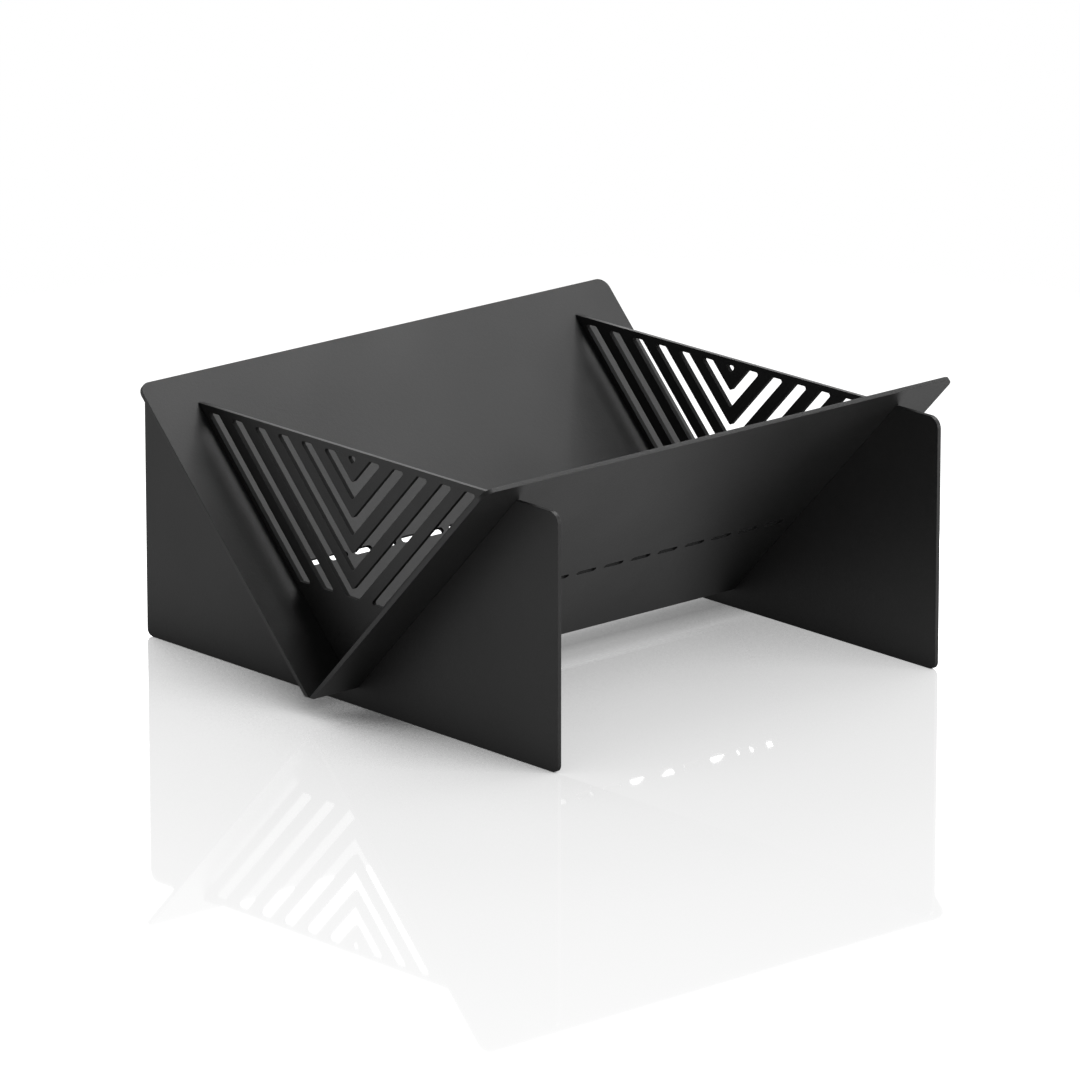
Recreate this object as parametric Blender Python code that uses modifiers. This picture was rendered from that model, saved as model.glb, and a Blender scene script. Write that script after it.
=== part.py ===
"""Knock-down fire pit: two sloping trough panels slotted into two vented end plates.

Metres, +Z up. X runs along the trough and the front is towards -Y. The origin is on the
ground, in the middle of the whole object.
"""
import math

import bmesh
import bpy

# Sheet that all four plates are cut from
SHEET = 0.003
CLEARANCE = 0.0003
RIM = 0.00025

# End plates. A shoulder is the top edge outside a panel
END_SPACING = 0.335
END_HEIGHT = 0.1725
FRONT_SHOULDER = 0.0401
REAR_SHOULDER = 0.0511
END_TOP_RADIUS = 0.008
END_FOOT_RADIUS = 0.005

# Trough panels. The overhang is past an end plate's outer face, the rise above its top edge
SLOPE = math.radians(46.0)
TROUGH_LIFT = 0.0124
PANEL_OVERHANG = 0.038
PANEL_RISE = 0.0161
PANEL_TOP_RADIUS = 0.008

# Chevron vents in the end plates, measured square to their arms
VENT_WIDTH = 0.0082
VENT_BAR = 0.00854
VENT_SIDE_MARGIN = 0.0039
VENT_TOP_MARGIN = 0.0043
VENT_RADIUS = 0.0015
LONE_VENTS = 2

# Row of air slots along each panel, its height measured up the slope
ROW_HEIGHT = 0.0906
ROW_SLOT_WIDTH = 0.0045
ROW_MARGIN = 0.005
FRONT_SLOT_LENGTH = 0.017
FRONT_ROW_BAR = 0.00715
REAR_SLOT_LENGTH = 0.0155
REAR_ROW_BAR = 0.0054

# Farthest that a rounded corner's straight steps lie from its true arc
ARC_DEPARTURE = 0.00002

# Where a panel's middle plane stands from the trough's centreline, at its lower edge
PANEL_FOOT = (SHEET / math.sin(SLOPE) + CLEARANCE) / 2

# Lengths up the slope: the panel, its stretch inside an end plate, and the lap's middle
PANEL_RUN = (END_HEIGHT + PANEL_RISE - TROUGH_LIFT - SHEET / 2 * math.cos(SLOPE)) / math.sin(SLOPE)
ENGAGED = (END_HEIGHT - TROUGH_LIFT) / math.sin(SLOPE)
LAP = ENGAGED / 2

# Reach of the end plates to the front and the rear of the trough's centreline
PANEL_AT_TOP = PANEL_FOOT + ENGAGED * math.cos(SLOPE) + SHEET / 2 / math.sin(SLOPE)
FRONT_REACH = PANEL_AT_TOP + FRONT_SHOULDER
REAR_REACH = PANEL_AT_TOP + REAR_SHOULDER
CENTRELINE = (FRONT_REACH - REAR_REACH) / 2

# Heights of the vents on the centreline
VENT_FIRST = TROUGH_LIFT + VENT_SIDE_MARGIN / math.cos(SLOPE)
VENT_PITCH = (VENT_WIDTH + VENT_BAR) / math.cos(SLOPE)
VENT_DEPTH = VENT_WIDTH / math.cos(SLOPE)
VENT_TOP = END_HEIGHT - VENT_TOP_MARGIN
VENT_FLOOR = VENT_FIRST + LONE_VENTS * VENT_PITCH + VENT_DEPTH / 2


def clear_scene():
    """Remove every object that a new file starts with."""
    for item in list(bpy.data.objects):
        bpy.data.objects.remove(item, do_unlink=True)


def coating(name, shade, roughness):
    """Charcoal powder coat over steel, as a Principled material."""
    material = bpy.data.materials.new(name)
    material.use_nodes = True
    colour = (shade, shade, shade, 1.0)
    shader = material.node_tree.nodes["Principled BSDF"]
    shader.inputs["Base Color"].default_value = colour
    shader.inputs["Roughness"].default_value = roughness
    shader.inputs["Metallic"].default_value = 0.0
    material.diffuse_color = colour
    return material


def rounded(corners):
    """Points of a closed outline from corners (x, y, radius), each arc limited by its edges."""
    points = []
    for index, (x, y, radius) in enumerate(corners):
        before = corners[index - 1]
        after = corners[(index + 1) % len(corners)]
        length_in = math.hypot(x - before[0], y - before[1])
        length_out = math.hypot(after[0] - x, after[1] - y)
        direction_in = math.atan2(y - before[1], x - before[0])
        direction_out = math.atan2(after[1] - y, after[0] - x)
        turn = (direction_out - direction_in + math.pi) % (2 * math.pi) - math.pi
        if radius <= 0.0:
            points.append((x, y))
            continue
        half_turn = math.tan(abs(turn) / 2)
        tangent = min(radius * half_turn, length_in / 2, length_out / 2)
        radius = tangent / half_turn
        side = math.copysign(1.0, turn)
        centre_x = x - tangent * math.cos(direction_in) - side * radius * math.sin(direction_in)
        centre_y = y - tangent * math.sin(direction_in) + side * radius * math.cos(direction_in)
        step_turn = 2 * math.acos(max(0.0, 1 - ARC_DEPARTURE / radius))
        steps = max(2, math.ceil(abs(turn) / step_turn))
        for step in range(steps + 1):
            angle = direction_in - side * math.pi / 2 + turn * step / steps
            point = (centre_x + radius * math.cos(angle), centre_y + radius * math.sin(angle))
            if not points or math.dist(points[-1], point) > 1e-6:
                points.append(point)
    if math.dist(points[0], points[-1]) <= 1e-6:
        points.pop()
    return points


def flat_plate(name, outlines, material, collection):
    """Plate as thick as the sheet in its own XY plane, filled between its outlines."""
    curve = bpy.data.curves.new(name, "CURVE")
    curve.dimensions = "2D"
    curve.fill_mode = "BOTH"
    curve.extrude = SHEET / 2
    for outline in outlines:
        spline = curve.splines.new("POLY")
        spline.points.add(len(outline) - 1)
        for point, (x, y) in zip(spline.points, outline):
            point.co = (x, y, 0.0, 1.0)
        spline.use_cyclic_u = True
    drawing = bpy.data.objects.new(name + "_outline", curve)
    collection.objects.link(drawing)
    evaluated = drawing.evaluated_get(bpy.context.evaluated_depsgraph_get())
    mesh = bpy.data.meshes.new_from_object(evaluated)
    bpy.data.objects.remove(drawing, do_unlink=True)
    bpy.data.curves.remove(curve)
    mesh.name = name
    solid = bmesh.new()
    solid.from_mesh(mesh)
    bmesh.ops.remove_doubles(solid, verts=solid.verts, dist=1e-6)
    bmesh.ops.recalc_face_normals(solid, faces=solid.faces)
    solid.to_mesh(mesh)
    solid.free()
    mesh.materials.clear()
    mesh.materials.append(material)
    plate = bpy.data.objects.new(name, mesh)
    collection.objects.link(plate)
    return plate


def break_edges(plate):
    """Small even chamfer round every cut edge."""
    plate.data.shade_smooth()
    plate.data.set_sharp_from_angle(angle=math.radians(30.0))
    bevel = plate.modifiers.new("broken_edges", "BEVEL")
    bevel.width = RIM
    bevel.segments = 1
    bevel.limit_method = "ANGLE"
    bevel.angle_limit = math.radians(30.0)
    bevel.loop_slide = False


def in_slit(distance, offset):
    """Point of an end plate: distance up a panel's slope, offset towards the trough's inside."""
    y = PANEL_FOOT + distance * math.cos(SLOPE) - offset * math.sin(SLOPE)
    z = TROUGH_LIFT + distance * math.sin(SLOPE) + offset * math.cos(SLOPE)
    return y, z, 0.0


def end_half(reach):
    """Corners of half an end plate, from its foot round to the inner side of its slit's mouth."""
    side = SHEET / 2 + CLEARANCE
    mouth_shift = side / math.tan(SLOPE)
    return [
        (reach, 0.0, END_FOOT_RADIUS),
        (reach, END_HEIGHT, END_TOP_RADIUS),
        in_slit(ENGAGED + mouth_shift, -side),
        in_slit(LAP, -side),
        in_slit(LAP, side),
        in_slit(ENGAGED - mouth_shift, side),
    ]


def mirrored(corners):
    """The same corners on the other side of the centreline, in reverse order."""
    return [(-y, z, radius) for y, z, radius in reversed(corners)]


def vent(low):
    """Corner lists of the vents whose lower edges point at height low on the centreline."""
    high = low + VENT_DEPTH

    def corner(edge, height):
        return (height - edge) / math.tan(SLOPE), height, VENT_RADIUS

    arm_top = [corner(low, VENT_TOP), corner(high, VENT_TOP)]
    if high <= VENT_FLOOR:
        arm = [corner(low, VENT_FLOOR)] + arm_top + [corner(high, VENT_FLOOR)]
        return [arm, mirrored(arm)]
    if low < VENT_FLOOR:
        foot = corner(low, VENT_FLOOR)
        tip = [mirrored([foot])[0], foot]
    else:
        tip = [(0.0, low, VENT_RADIUS)]
    if VENT_TOP - high < VENT_BAR / 2:
        return [tip + [arm_top[0], mirrored(arm_top)[1]]]
    return [tip + arm_top + [(0.0, high, VENT_RADIUS)] + mirrored(arm_top)]


def end_vents():
    """Vents of one end plate, from the lone arms beside the panels up to the small triangle."""
    found = []
    low = VENT_FIRST
    while VENT_TOP - low > VENT_WIDTH / 2:
        found += vent(low)
        low += VENT_PITCH
    return found


def end_plate(name, side, collection):
    """One end plate, standing on its lower edge at one end of the trough."""
    shapes = [end_half(REAR_REACH) + mirrored(end_half(FRONT_REACH))] + end_vents()
    outlines = [[(y + CENTRELINE, z) for y, z in rounded(shape)] for shape in shapes]
    plate = flat_plate(name, outlines, coating(name + "_coat", 0.02, 0.5), collection)
    plate.rotation_euler = (math.pi / 2, 0.0, math.pi / 2)
    plate.location = (side * END_SPACING / 2, 0.0, 0.0)
    break_edges(plate)


def panel_outline():
    """Outline of a trough panel with its two slits, upright along Y."""
    half_length = (END_SPACING + SHEET) / 2 + PANEL_OVERHANG
    slit_side = SHEET / 2 + CLEARANCE
    slit_top = LAP + CLEARANCE
    corners = [(-half_length, 0.0, 0.0)]
    for middle in (-END_SPACING / 2, END_SPACING / 2):
        corners.append((middle - slit_side, 0.0, 0.0))
        corners.append((middle - slit_side, slit_top, 0.0))
        corners.append((middle + slit_side, slit_top, 0.0))
        corners.append((middle + slit_side, 0.0, 0.0))
    corners.append((half_length, 0.0, 0.0))
    corners.append((half_length, PANEL_RUN, PANEL_TOP_RADIUS))
    corners.append((-half_length, PANEL_RUN, PANEL_TOP_RADIUS))
    return rounded(corners)


def slot_row(length, bar):
    """Outlines of a centred row of round-ended slots between the end plates."""
    pitch = length + bar
    room = END_SPACING - SHEET - 2 * ROW_MARGIN - length
    count = int(room / pitch) + 1
    half_length = length / 2
    half_width = ROW_SLOT_WIDTH / 2
    row = []
    for index in range(count):
        middle = (index - (count - 1) / 2) * pitch
        row.append(rounded([
            (middle - half_length, ROW_HEIGHT - half_width, half_width),
            (middle + half_length, ROW_HEIGHT - half_width, half_width),
            (middle + half_length, ROW_HEIGHT + half_width, half_width),
            (middle - half_length, ROW_HEIGHT + half_width, half_width),
        ]))
    return row


def cut_level(plate):
    """Slant the lower edge so that it lies level once the panel is tilted."""
    for vertex in plate.data.vertices:
        if abs(vertex.co.y) < 1e-7:
            vertex.co.y = -vertex.co.z / math.tan(SLOPE)


def trough_panel(name, side, row, collection):
    """One trough panel: side is -1 at the front and 1 at the rear."""
    outlines = [panel_outline()] + row
    plate = flat_plate(name, outlines, coating(name + "_coat", 0.02, 0.5), collection)
    cut_level(plate)
    plate.rotation_euler = (SLOPE, 0.0, math.pi if side < 0 else 0.0)
    plate.location = (0.0, CENTRELINE + side * PANEL_FOOT, TROUGH_LIFT)
    break_edges(plate)


def main():
    clear_scene()
    collection = bpy.data.collections.new("fire_pit")
    bpy.context.scene.collection.children.link(collection)
    end_plate("left_end_plate", -1, collection)
    end_plate("right_end_plate", 1, collection)
    trough_panel("front_panel", -1, slot_row(FRONT_SLOT_LENGTH, FRONT_ROW_BAR), collection)
    trough_panel("rear_panel", 1, slot_row(REAR_SLOT_LENGTH, REAR_ROW_BAR), collection)
    bpy.context.view_layer.update()


main()
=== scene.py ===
"""Looks of a knock-down fire pit: four powder-coated steel plates on a pale studio floor.

Metres, +Z up. X runs along the trough and the front is towards -Y.
"""

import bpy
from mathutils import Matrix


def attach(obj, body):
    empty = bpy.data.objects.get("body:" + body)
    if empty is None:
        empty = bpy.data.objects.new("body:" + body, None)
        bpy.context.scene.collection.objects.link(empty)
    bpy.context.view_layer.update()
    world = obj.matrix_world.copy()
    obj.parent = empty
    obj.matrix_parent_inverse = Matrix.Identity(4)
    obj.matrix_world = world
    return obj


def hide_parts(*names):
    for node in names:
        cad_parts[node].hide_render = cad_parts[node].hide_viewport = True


bl_info = {
    "name": "Knock-Down Fire Pit",
    "version": (1, 0, 0),
    "blender": (4, 5, 0),
    "location": "View3D > Sidebar > Fire Pit",
    "description": "Builds the coated plates of a slot-together fire pit and the studio round it",
    "category": "Add Mesh",
}

import math

import bmesh
import bpy
from bpy.props import FloatProperty, FloatVectorProperty, PointerProperty
from mathutils import Vector

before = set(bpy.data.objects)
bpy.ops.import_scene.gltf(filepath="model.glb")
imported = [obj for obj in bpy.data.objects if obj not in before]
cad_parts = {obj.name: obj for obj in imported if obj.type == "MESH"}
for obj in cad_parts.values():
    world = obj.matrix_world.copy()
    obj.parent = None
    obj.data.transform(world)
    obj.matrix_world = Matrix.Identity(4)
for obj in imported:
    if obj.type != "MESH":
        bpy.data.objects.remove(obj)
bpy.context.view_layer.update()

# A face's facing is 1 where it is parallel to its plate's broad faces and 0 where it is square
MERGE_DISTANCE = 2e-6
CUT_FACING = 0.3
BROAD_FACING = 0.995
UPRIGHT_SLOPE = math.radians(89.0)
AREA_WEIGHT = 100

# Noise from a Noise Texture mostly lies between these two
NOISE_LOW = 0.25
NOISE_HIGH = 0.75

# Powder coat. The sheens change its roughness, the rises are shares of the texture depth
DRIFT_SIZE = 0.06
DRIFT_SHEEN = 0.03
SPECK_SHEEN = 0.05
OPENING_SHEEN = 0.45
PEEL_RISE = 1.2
LINE_RISE = 1.5
LINE_STRETCH = 0.02
COAT_IOR = 1.5

# The floor's own gloss
FLOOR_DROP = 0.0002
FLOOR_CELLS = 8
FLOOR_SPECULAR = 0.3
CLOUD_SIZE = 0.3
CLOUD_SHARE = 0.005
SCUFF_SIZE = 0.01
SCUFF_ROUGHNESS = (0.03, 0.05)

# The floor's shade and mirror image. The square is centred under the pit, and SIDE_STEP is the
# width over which the shade changes at the near end plate's outer face
SQUARE_HALF = 0.17
SIDE_STEP = 0.001
COVER_REACH = 0.6
COVER_SAMPLES = 4
COVER_SHADE = (0.42, 0.3)
TIGHT_POWER = 6.0
TIGHT_SHADE = (8.0, 0.35)
TROUGH_HALF = 0.03
TROUGH_SHADE = (0.0, 0.35)
MIRROR_START = 0.2
MIRROR_END = 0.8
MIRROR_LIMIT = 0.95
POLISH_ROUGHNESS = 0.03
SHADOW_REACH = 0.3

# The floor as the coat mirrors it, a glow with painted shade: how dim it is under the trough and by
# the plates, and how far that reaches
UNDER_TROUGH_GLOW = 0.35
UNDER_TROUGH_REACH = 0.25
BY_PLATE_GLOW = 0.3
BY_PLATE_REACH = 0.05

SENSOR_WIDTH = 36.0
CLIP_END = 60.0

LAMPS = (
    # name, azimuth and elevation in degrees, power in watts, share of the lamp size
    ("front_right_low_lamp", 45.0, 12.0, 11.0, 0.7),
    ("right_lamp", 90.0, 35.0, 4.5, 1.0),
    ("right_high_lamp", 90.0, 60.0, 25.0, 1.0),
    ("rear_right_low_lamp", 138.0, 14.0, 10.0, 1.0),
    ("rear_left_low_lamp", 225.0, 12.0, 2.0, 1.0),
)


class CoatSettings(bpy.types.PropertyGroup):
    """Powder coat on all four plates."""

    colour: FloatVectorProperty(
        name="Colour", description="Charcoal of the powder coat",
        subtype="COLOR", size=3, min=0.0, max=1.0, default=(0.02, 0.02, 0.02))
    roughness: FloatProperty(
        name="Roughness", description="How matt the coat is",
        subtype="FACTOR", min=0.0, max=1.0, default=0.5)
    specular: FloatProperty(
        name="Specular level", description="Strength of the coat's sheen",
        subtype="FACTOR", min=0.0, max=1.0, default=0.5)
    mottle: FloatProperty(
        name="Mottle", description="Share by which the coat's shade drifts over a plate",
        subtype="FACTOR", min=0.0, max=1.0, default=0.1)
    grain: FloatProperty(
        name="Grain", description="Share by which the shade varies from speck to speck",
        subtype="FACTOR", min=0.0, max=1.0, default=0.25)
    speck: FloatProperty(
        name="Speck size", description="Width of one speck of the coat's fine texture",
        subtype="DISTANCE", unit="LENGTH", min=0.0001, max=0.01, default=0.0009)
    peel: FloatProperty(
        name="Peel size", description="Width of one soft wave of the coat's surface",
        subtype="DISTANCE", unit="LENGTH", min=0.0005, max=0.03, default=0.0026)
    depth: FloatProperty(
        name="Texture depth", description="Height of the coat's fine texture",
        subtype="DISTANCE", unit="LENGTH", min=0.0, max=0.001, default=0.00004)
    thin_rims: FloatProperty(
        name="Thin rims", description="How much lighter the coat is where it thins on the rims",
        subtype="FACTOR", min=0.0, max=1.0, default=0.35)
    # Painted shade: the coat is made darker on the walls of the vents and slots, where shade falls
    # deep in the openings.
    painted_opening_shade: FloatProperty(
        name="Painted opening shade", description="How much darker the walls of the vents and slots are",
        subtype="FACTOR", min=0.0, max=1.0, default=0.7)


class PlateSettings(bpy.types.PropertyGroup):
    """Finish of the plates' cut edges."""

    rim_softness: FloatProperty(
        name="Rim softness", description="Width over which a broad face bends into its rim",
        subtype="DISTANCE", unit="LENGTH", min=0.00001, max=0.0002, default=0.00005)
    cut_line: FloatProperty(
        name="Cut line width", description="Width of one cutting line across the sheet's edge",
        subtype="DISTANCE", unit="LENGTH", min=0.0001, max=0.005, default=0.0007)


class StageSettings(bpy.types.PropertyGroup):
    """Floor, light and camera."""

    floor_colour: FloatVectorProperty(
        name="Floor colour", description="Pale gloss of the floor",
        subtype="COLOR", size=3, min=0.0, max=1.0, default=(0.86, 0.86, 0.86))
    floor_size: FloatProperty(
        name="Floor size", description="Side of the square floor",
        subtype="DISTANCE", unit="LENGTH", min=1.0, max=40.0, default=16.0)
    mirror: FloatProperty(
        name="Floor mirror", description="How strongly the open floor mirrors the pit",
        subtype="FACTOR", min=0.0, max=1.0, default=0.1)
    contact: FloatVectorProperty(
        name="Floor contact", description="Strength of the close shade beside and under the pit",
        size=2, min=0.0, max=2.0, default=(0.88, 1.0))
    shadow: FloatProperty(
        name="Floor shadow", description="Share of the lamps' own shadow on the white floor",
        subtype="FACTOR", min=0.0, max=1.0, default=0.04)
    room: FloatProperty(
        name="Room", description="Brightness of the room as the coat mirrors it",
        subtype="FACTOR", min=0.05, max=1.0, default=0.4)
    floor_glow: FloatProperty(
        name="Floor glow", description="Brightness of the open floor as the coat mirrors it",
        subtype="FACTOR", min=0.0, max=1.0, default=0.8)
    lamp_distance: FloatProperty(
        name="Lamp distance", description="From the pit to each lamp",
        subtype="DISTANCE", unit="LENGTH", min=0.5, default=2.2)
    lamp_size: FloatProperty(
        name="Lamp size", description="Side of a square lamp whose share of it is 1",
        subtype="DISTANCE", unit="LENGTH", min=0.1, default=1.3)
    azimuth: FloatProperty(
        name="Camera azimuth", description="Camera's turn about the object, from the front",
        subtype="ANGLE", unit="ROTATION", default=math.radians(-41.948))
    elevation: FloatProperty(
        name="Camera elevation", description="Camera's angle above level",
        subtype="ANGLE", unit="ROTATION", default=math.radians(16.326))
    distance: FloatProperty(
        name="Camera distance", description="From the camera to the point that it looks at",
        subtype="DISTANCE", unit="LENGTH", min=0.5, default=6.2507)
    target: FloatVectorProperty(
        name="Camera target", description="Point that the camera looks at",
        subtype="XYZ", size=3, default=(-0.00039, 0.0, 0.07754))
    lens: FloatProperty(
        name="Lens", description="Focal length on a 36 mm wide sensor, in millimetres",
        min=10.0, default=314.97)


class FirePitSettings(bpy.types.PropertyGroup):
    """All settings of the fire pit and its studio."""

    coat: PointerProperty(type=CoatSettings)
    plates: PointerProperty(type=PlateSettings)
    stage: PointerProperty(type=StageSettings)


class Shades:
    """Short calls that add and join the nodes of one material or world."""

    def __init__(self, owner):
        owner.use_nodes = True
        self.tree = owner.node_tree
        self.tree.nodes.clear()

    def add(self, kind, **settings):
        node = self.tree.nodes.new(kind)
        for name, value in settings.items():
            setattr(node, name, value)
        return node

    def join(self, source, target):
        self.tree.links.new(source, target)

    def place(self):
        """Point on the object, in its own metres."""
        return self.add("ShaderNodeTexCoord").outputs["Object"]

    def axis(self, place, name):
        """One coordinate of a point: X, Y or Z."""
        node = self.add("ShaderNodeSeparateXYZ")
        self.join(place, node.inputs["Vector"])
        return node.outputs[name]

    def mark(self, name):
        """A number that the mesh carries under this name."""
        return self.add("ShaderNodeAttribute", attribute_name=name).outputs["Fac"]

    def noise(self, place, size, detail=2.0, roughness=0.5):
        """Noise whose features are about size metres wide, from 0 to 1 about 0.5."""
        node = self.add("ShaderNodeTexNoise")
        node.inputs["Scale"].default_value = 1.0 / size
        node.inputs["Detail"].default_value = detail
        node.inputs["Roughness"].default_value = roughness
        self.join(place, node.inputs["Vector"])
        return node.outputs["Fac"]

    def math(self, operation, first, second=0.0):
        """One Math node: first and second are sockets or numbers."""
        node = self.add("ShaderNodeMath", operation=operation)
        for socket, value in zip(node.inputs, (first, second)):
            if isinstance(value, (int, float)):
                socket.default_value = value
            else:
                self.join(value, socket)
        return node.outputs["Value"]

    def ramp(self, value, start, end, low, high):
        """Map start to end onto low to high, and hold the level beyond either end."""
        node = self.add("ShaderNodeMapRange", clamp=True)
        levels = (("From Min", start), ("From Max", end), ("To Min", low), ("To Max", high))
        for name, level in levels:
            node.inputs[name].default_value = level
        self.join(value, node.inputs["Value"])
        return node.outputs["Result"]

    def spread(self, noise, low, high):
        """Map noise onto low to high."""
        return self.ramp(noise, NOISE_LOW, NOISE_HIGH, low, high)

    def tint(self, colour, strength):
        """A fixed colour times a strength."""
        node = self.add("ShaderNodeVectorMath", operation="SCALE")
        node.inputs[0].default_value = tuple(colour)
        self.join(strength, node.inputs["Scale"])
        return node.outputs["Vector"]

    def away(self, place, half_length, half_width):
        """Distance on the floor from a rectangle round the middle of the pit."""
        value = place
        for operation, amounts in (("ABSOLUTE", None),
                                   ("SUBTRACT", (half_length, half_width, 0.0)),
                                   ("MAXIMUM", (0.0, 0.0, 0.0))):
            node = self.add("ShaderNodeVectorMath", operation=operation)
            if amounts:
                node.inputs[1].default_value = amounts
            self.join(value, node.inputs[0])
            value = node.outputs["Vector"]
        length = self.add("ShaderNodeVectorMath", operation="LENGTH")
        self.join(value, length.inputs[0])
        return length.outputs["Value"]

    def glow(self, strength):
        """White light of its own."""
        node = self.add("ShaderNodeEmission")
        self.join(strength, node.inputs["Strength"])
        return node.outputs["Emission"]

    def blend(self, share, first, second):
        """First shader where share is 0, second where it is 1."""
        node = self.add("ShaderNodeMixShader")
        for socket, source in zip(node.inputs, (share, first, second)):
            self.join(source, socket)
        return node.outputs["Shader"]

    def layer(self, first, second):
        """Both shaders' light together."""
        node = self.add("ShaderNodeAddShader")
        for socket, source in zip(node.inputs, (first, second)):
            self.join(source, socket)
        return node.outputs["Shader"]

    def finish(self, kind, look):
        self.join(look, self.add(kind).inputs["Surface"])


def add_object(name, data):
    """New object in the scene, standing at the origin."""
    item = bpy.data.objects.new(name, data)
    bpy.context.scene.collection.objects.link(item)
    return item


def outward(azimuth, elevation):
    """Direction away from the pit: azimuth from the front towards +X, elevation from level."""
    return Vector((
        math.sin(azimuth) * math.cos(elevation),
        -math.cos(azimuth) * math.cos(elevation),
        math.sin(elevation)))


def cut_lines(shades, place, slope, turn, width):
    """Noise drawn out across the sheet's edges, on a plate that leans by slope and turn."""
    square = shades.add("ShaderNodeMapping", vector_type="TEXTURE")
    square.inputs["Rotation"].default_value = (slope, 0.0, turn)
    shades.join(place, square.inputs["Vector"])
    stretched = shades.add("ShaderNodeMapping", vector_type="POINT")
    stretched.inputs["Scale"].default_value = (1.0, 1.0, LINE_STRETCH)
    shades.join(square.outputs["Vector"], stretched.inputs["Vector"])
    return shades.noise(stretched.outputs["Vector"], width, roughness=0.7)


def powder_coat(name, slope, turn, settings):
    """Charcoal powder coat: speckled shade, fine texture, soft peel, cut-edge lines and painted
    shade in openings.
    """
    coat = settings.coat
    material = bpy.data.materials.new(name)
    shades = Shades(material)
    place = shades.place()
    drift = shades.noise(place, DRIFT_SIZE, detail=3.0)
    speck = shades.noise(place, coat.speck, detail=3.0, roughness=0.6)
    peel = shades.noise(place, coat.peel, detail=1.0)
    lines = cut_lines(shades, place, slope, turn, settings.plates.cut_line)
    opening = shades.mark("opening")

    shade = shades.math("MULTIPLY", shades.spread(drift, 1.0 - coat.mottle, 1.0 + coat.mottle),
                        shades.spread(speck, 1.0 - coat.grain, 1.0 + coat.grain))
    thin = shades.math("MULTIPLY", shades.mark("rim"), coat.thin_rims)
    shade = shades.math("MULTIPLY", shade, shades.math("ADD", 1.0, thin))
    # Painted shade: the walls of the vents and slots are darkened in colour, as shade deep in the
    # openings.
    painted_shade = shades.math("MULTIPLY", opening, coat.painted_opening_shade)
    shade = shades.math("MULTIPLY", shade, shades.math("SUBTRACT", 1.0, painted_shade))

    speck_low, speck_high = coat.roughness - SPECK_SHEEN, coat.roughness + SPECK_SHEEN
    matt = shades.math("ADD", shades.spread(drift, -DRIFT_SHEEN, DRIFT_SHEEN),
                       shades.spread(speck, speck_low, speck_high))
    matt = shades.math("ADD", matt, shades.math("MULTIPLY", opening, OPENING_SHEEN))

    rise = shades.math("ADD", speck, shades.math("MULTIPLY", peel, PEEL_RISE))
    lines = shades.math("MULTIPLY", lines, shades.mark("cut_edge"))
    rise = shades.math("ADD", rise, shades.math("MULTIPLY", lines, LINE_RISE))
    bump = shades.add("ShaderNodeBump")
    bump.inputs["Strength"].default_value = 1.0
    bump.inputs["Distance"].default_value = coat.depth
    shades.join(rise, bump.inputs["Height"])

    shader = shades.add("ShaderNodeBsdfPrincipled")
    shader.inputs["Specular IOR Level"].default_value = coat.specular
    shader.inputs["IOR"].default_value = COAT_IOR
    shades.join(shades.tint(coat.colour, shade), shader.inputs["Base Color"])
    shades.join(matt, shader.inputs["Roughness"])
    shades.join(bump.outputs["Normal"], shader.inputs["Normal"])
    shades.finish("ShaderNodeOutputMaterial", shader.outputs["BSDF"])
    material.diffuse_color = (*coat.colour, 1.0)
    return material


def plate_slope(node):
    """Angle of a plate's face from level, as it stands: 90 degrees for an end plate."""
    largest = max(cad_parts[node].data.polygons, key=lambda face: face.area)
    return math.acos(min(1.0, abs(largest.normal.z)))


def opening_walls(shape, cut):
    """Cut faces round the openings: all rings of them but the largest, which is the outline."""
    left = {face for face in shape.faces if face[cut] > 0.5}
    rings = []
    while left:
        ring, grow = [], [left.pop()]
        while grow:
            face = grow.pop()
            ring.append(face)
            for edge in face.edges:
                for other in edge.link_faces:
                    if other in left:
                        left.remove(other)
                        grow.append(other)
        rings.append(ring)
    rings.sort(key=lambda ring: sum(face.calc_area() for face in ring))
    return [face for ring in rings[:-1] for face in ring]


def coated_plate(node, body, settings):
    """Finished plate in place of a CAD node: its merged shape, with a soft margin at each rim."""
    shape = bmesh.new()
    shape.from_mesh(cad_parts[node].data)
    bmesh.ops.remove_doubles(shape, verts=shape.verts, dist=MERGE_DISTANCE)

    largest = max(shape.faces, key=lambda face: face.calc_area())
    across = largest.normal.copy()
    cut = shape.faces.layers.float.new("cut_edge")
    opening = shape.faces.layers.float.new("opening")
    rim = shape.verts.layers.float.new("rim")
    broad, rims = [], []
    for face in shape.faces:
        facing = abs(face.normal.dot(across))
        if facing < CUT_FACING:
            face[cut] = 1.0
        elif facing < BROAD_FACING:
            rims.append(face)
        else:
            broad.append(face)
    for face in opening_walls(shape, cut):
        face[opening] = 1.0

    # The margin lies in the broad faces, so it moves nothing off the plate's true surface.
    bmesh.ops.inset_region(
        shape, faces=broad, thickness=settings.plates.rim_softness, depth=0.0,
        use_boundary=True, use_even_offset=True)
    for face in rims:
        for vertex in face.verts:
            vertex[rim] = 1.0
    bmesh.ops.triangulate(shape, faces=shape.faces)

    mesh = bpy.data.meshes.new(node + "_coated")
    shape.to_mesh(mesh)
    shape.free()
    mesh.shade_smooth()
    piece = add_object(node + "_coated", mesh)
    piece.modifiers.new("even_shading", "WEIGHTED_NORMAL").weight = AREA_WEIGHT

    slope, turn = plate_slope(node), 0.0
    if slope > UPRIGHT_SLOPE:
        slope = 0.0
    elif across.y * across.z < 0.0:
        turn = math.pi
    mesh.materials.append(powder_coat(node + "_coat", slope, turn, settings))
    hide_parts(node)
    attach(piece, body)


def plate_faces():
    """How far the inner and outer faces of an end plate stand from the middle of the trough."""
    reach = [vertex.co.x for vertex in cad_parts["right_end_plate"].data.vertices]
    return min(reach), max(reach)


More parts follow.
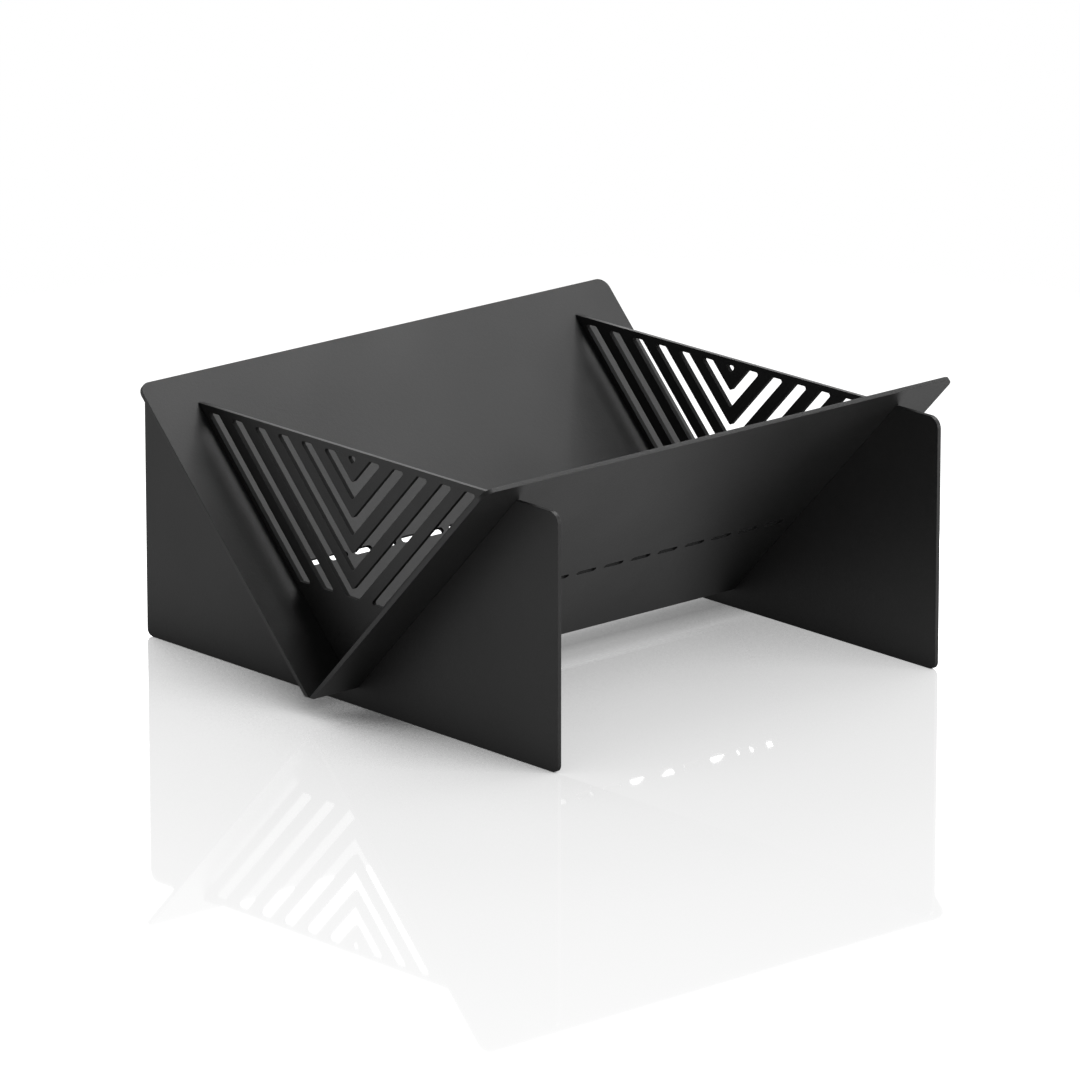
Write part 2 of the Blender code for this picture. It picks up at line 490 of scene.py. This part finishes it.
def floor_gloss(shades, place, stage):
    """The floor's own pale gloss, as the lamps light it."""
    cloud = shades.noise(place, CLOUD_SIZE)
    scuff = shades.noise(place, SCUFF_SIZE, detail=3.0)
    shader = shades.add("ShaderNodeBsdfPrincipled")
    colour = shades.tint(
        stage.floor_colour, shades.spread(cloud, 1.0 - CLOUD_SHARE, 1.0 + CLOUD_SHARE))
    shades.join(colour, shader.inputs["Base Color"])
    shades.join(shades.spread(scuff, *SCUFF_ROUGHNESS), shader.inputs["Roughness"])
    shader.inputs["Specular IOR Level"].default_value = FLOOR_SPECULAR
    return shader.outputs["BSDF"]


def mirror_share(shades, place, gap, stage):
    """How much of the floor's white gives way to a mirror image of the pit and the room.

    The plates' cover over the floor, from 0 in the open to 1 shut in, sets most of it, so the pit's
    dark mirror image is painted contact shade. Each shade is a pair: its strength beside the pit,
    past the near end plate, and under the pit.
    """
    sideways = shades.axis(place, "X")
    outer = plate_faces()[1]

    def strength(shade):
        beside, under = (level * share for level, share in zip(shade, stage.contact))
        return shades.ramp(sideways, -outer, SIDE_STEP - outer, beside, under)

    # Painted contact shade: occlusion and nearness to the trough set how dark the floor's mirror
    # image is.
    open_air = shades.add("ShaderNodeAmbientOcclusion", samples=COVER_SAMPLES)
    open_air.inputs["Distance"].default_value = COVER_REACH
    covered = shades.math("SUBTRACT", 1.0, open_air.outputs["AO"])
    tight = shades.math("POWER", covered, TIGHT_POWER)
    from_middle = shades.math("ABSOLUTE", shades.axis(place, "Y"))
    trough = shades.ramp(from_middle, 0.0, TROUGH_HALF, 1.0, 0.0)
    mirror = shades.ramp(gap, MIRROR_START, MIRROR_END, stage.mirror, 0.0)
    for share, shade in ((covered, COVER_SHADE), (tight, TIGHT_SHADE), (trough, TROUGH_SHADE)):
        mirror = shades.math("ADD", mirror, shades.math("MULTIPLY", share, strength(shade)))
    return shades.math("MINIMUM", mirror, MIRROR_LIMIT)


def floor_to_camera(shades, place, lit, stage):
    """The floor that the camera sees: white, with the pit's faint shadow and mirror image."""
    gap = shades.away(place, SQUARE_HALF, SQUARE_HALF)
    mirror = mirror_share(shades, place, gap, stage)
    white = shades.glow(shades.math("SUBTRACT", 1.0, mirror))
    ground = shades.blend(shades.ramp(gap, 0.0, SHADOW_REACH, stage.shadow, 0.0), white, lit)
    # The image is divided by the room's brightness, which glossy rays see dimmed.
    polish = shades.add("ShaderNodeBsdfAnisotropic")
    shades.join(shades.math("DIVIDE", mirror, stage.room), polish.inputs["Color"])
    polish.inputs["Roughness"].default_value = POLISH_ROUGHNESS
    return shades.layer(ground, polish.outputs["BSDF"])


def floor_to_coat(shades, place, stage):
    """The floor's glow that the coat mirrors, with painted shade under the trough and along both
    end plates.
    """
    under_trough = shades.ramp(
        shades.away(place, SQUARE_HALF, 0.0), 0.0, UNDER_TROUGH_REACH,
        UNDER_TROUGH_GLOW * stage.floor_glow, stage.floor_glow)
    sideways = shades.math("ABSOLUTE", shades.axis(place, "X"))
    middle = sum(plate_faces()) / 2
    from_plate = shades.math("ABSOLUTE", shades.math("SUBTRACT", sideways, middle))
    by_plate = shades.ramp(from_plate, 0.0, BY_PLATE_REACH, BY_PLATE_GLOW, 1.0)
    return shades.glow(shades.math("MULTIPLY", under_trough, by_plate))


def floor_finish(stage):
    """Pale gloss floor, with a look of its own for the camera and for the coat's mirroring."""
    material = bpy.data.materials.new("studio_floor")
    shades = Shades(material)
    place = shades.place()
    lit = floor_gloss(shades, place, stage)
    path = shades.add("ShaderNodeLightPath")
    look = shades.blend(
        path.outputs["Is Glossy Ray"], lit, floor_to_coat(shades, place, stage))
    look = shades.blend(
        path.outputs["Is Camera Ray"], look, floor_to_camera(shades, place, lit, stage))
    shades.finish("ShaderNodeOutputMaterial", look)
    return material


def lay_floor(stage):
    """Square floor just under the feet of the end plates."""
    shape = bmesh.new()
    bmesh.ops.create_grid(
        shape, x_segments=FLOOR_CELLS, y_segments=FLOOR_CELLS, size=stage.floor_size / 2)
    bmesh.ops.translate(shape, verts=shape.verts, vec=(0.0, 0.0, -FLOOR_DROP))
    mesh = bpy.data.meshes.new("studio_floor")
    shape.to_mesh(mesh)
    shape.free()
    mesh.materials.append(floor_finish(stage))
    add_object("studio_floor", mesh)


def studio_air(stage):
    """Pale world, in full for the camera and dimmer for the coat; the lamps light the pit."""
    world = bpy.data.worlds.new("studio_air")
    shades = Shades(world)
    path = shades.add("ShaderNodeLightPath")
    mirrored = shades.math("MULTIPLY", path.outputs["Is Glossy Ray"], stage.room)
    seen = shades.math("MAXIMUM", path.outputs["Is Camera Ray"], mirrored)
    air = shades.add("ShaderNodeBackground")
    shades.join(seen, air.inputs["Strength"])
    shades.finish("ShaderNodeOutputWorld", air.outputs["Background"])
    bpy.context.scene.world = world


def soft_lamp(name, azimuth, elevation, power, share, stage):
    """Square lamp aimed at the pit, its angles in degrees and its side a share of the lamp size."""
    out = outward(math.radians(azimuth), math.radians(elevation))
    light = bpy.data.lights.new(name, "AREA")
    light.shape = "SQUARE"
    light.size = share * stage.lamp_size
    light.energy = power
    lamp = add_object(name, light)
    lamp.location = Vector(stage.target) + out * stage.lamp_distance
    lamp.rotation_euler = out.to_track_quat("Z", "Y").to_euler()
    lamp.visible_camera = False


def studio_camera(stage):
    """Camera at the set angle and distance from its target."""
    lens = bpy.data.cameras.new("studio_camera")
    lens.sensor_width = SENSOR_WIDTH
    lens.sensor_fit = "HORIZONTAL"
    lens.lens = stage.lens
    lens.clip_end = CLIP_END
    camera = add_object("studio_camera", lens)
    back = outward(stage.azimuth, stage.elevation)
    camera.location = Vector(stage.target) + back * stage.distance
    camera.rotation_euler = back.to_track_quat("Z", "Y").to_euler()
    bpy.context.scene.camera = camera


class FIREPIT_OT_end_plates(bpy.types.Operator):
    """Make the two vented end plates that the pit stands on"""

    bl_idname = "firepit.end_plates"
    bl_label = "End Plates"

    def execute(self, context):
        settings = context.scene.fire_pit
        coated_plate("left_end_plate", "end_plates", settings)
        coated_plate("right_end_plate", "end_plates", settings)
        return {"FINISHED"}


class FIREPIT_OT_front_panel(bpy.types.Operator):
    """Make the sloping trough panel at the front"""

    bl_idname = "firepit.front_panel"
    bl_label = "Front Panel"

    def execute(self, context):
        coated_plate("front_panel", "front_side", context.scene.fire_pit)
        return {"FINISHED"}


class FIREPIT_OT_rear_panel(bpy.types.Operator):
    """Make the sloping trough panel at the rear"""

    bl_idname = "firepit.rear_panel"
    bl_label = "Rear Panel"

    def execute(self, context):
        coated_plate("rear_panel", "rear_side", context.scene.fire_pit)
        return {"FINISHED"}


class FIREPIT_OT_stage(bpy.types.Operator):
    """Lay the floor, hang the studio lamps and set up the camera"""

    bl_idname = "firepit.stage"
    bl_label = "Studio"

    def execute(self, context):
        stage = context.scene.fire_pit.stage
        lay_floor(stage)
        studio_air(stage)
        for lamp in LAMPS:
            soft_lamp(*lamp, stage)
        studio_camera(stage)
        context.scene.view_settings.view_transform = "Standard"
        return {"FINISHED"}


class FIREPIT_PT_parts(bpy.types.Panel):
    """Sidebar list of the fire pit's pieces and their settings"""

    bl_idname = "FIREPIT_PT_parts"
    bl_label = "Fire Pit"
    bl_space_type = "VIEW_3D"
    bl_region_type = "UI"
    bl_category = "Fire Pit"

    def draw(self, context):
        settings = context.scene.fire_pit
        for title, group in (("Powder coat", settings.coat), ("Cut edges", settings.plates),
                             ("Studio", settings.stage)):
            column = self.layout.column()
            column.label(text=title)
            for name in group.__annotations__:
                column.prop(group, name)
        for operator in STEPS:
            self.layout.operator(operator.bl_idname)


STEPS = (
    FIREPIT_OT_end_plates,
    FIREPIT_OT_front_panel,
    FIREPIT_OT_rear_panel,
    FIREPIT_OT_stage,
)
CLASSES = (CoatSettings, PlateSettings, StageSettings, FirePitSettings, *STEPS, FIREPIT_PT_parts)


def register():
    for item in CLASSES:
        bpy.utils.register_class(item)
    bpy.types.Scene.fire_pit = PointerProperty(type=FirePitSettings)


def unregister():
    del bpy.types.Scene.fire_pit
    for item in reversed(CLASSES):
        bpy.utils.unregister_class(item)


def main():
    register()
    bpy.ops.firepit.end_plates()
    bpy.ops.firepit.front_panel()
    bpy.ops.firepit.rear_panel()
    bpy.ops.firepit.stage()


if __name__ == "__main__":
    main()
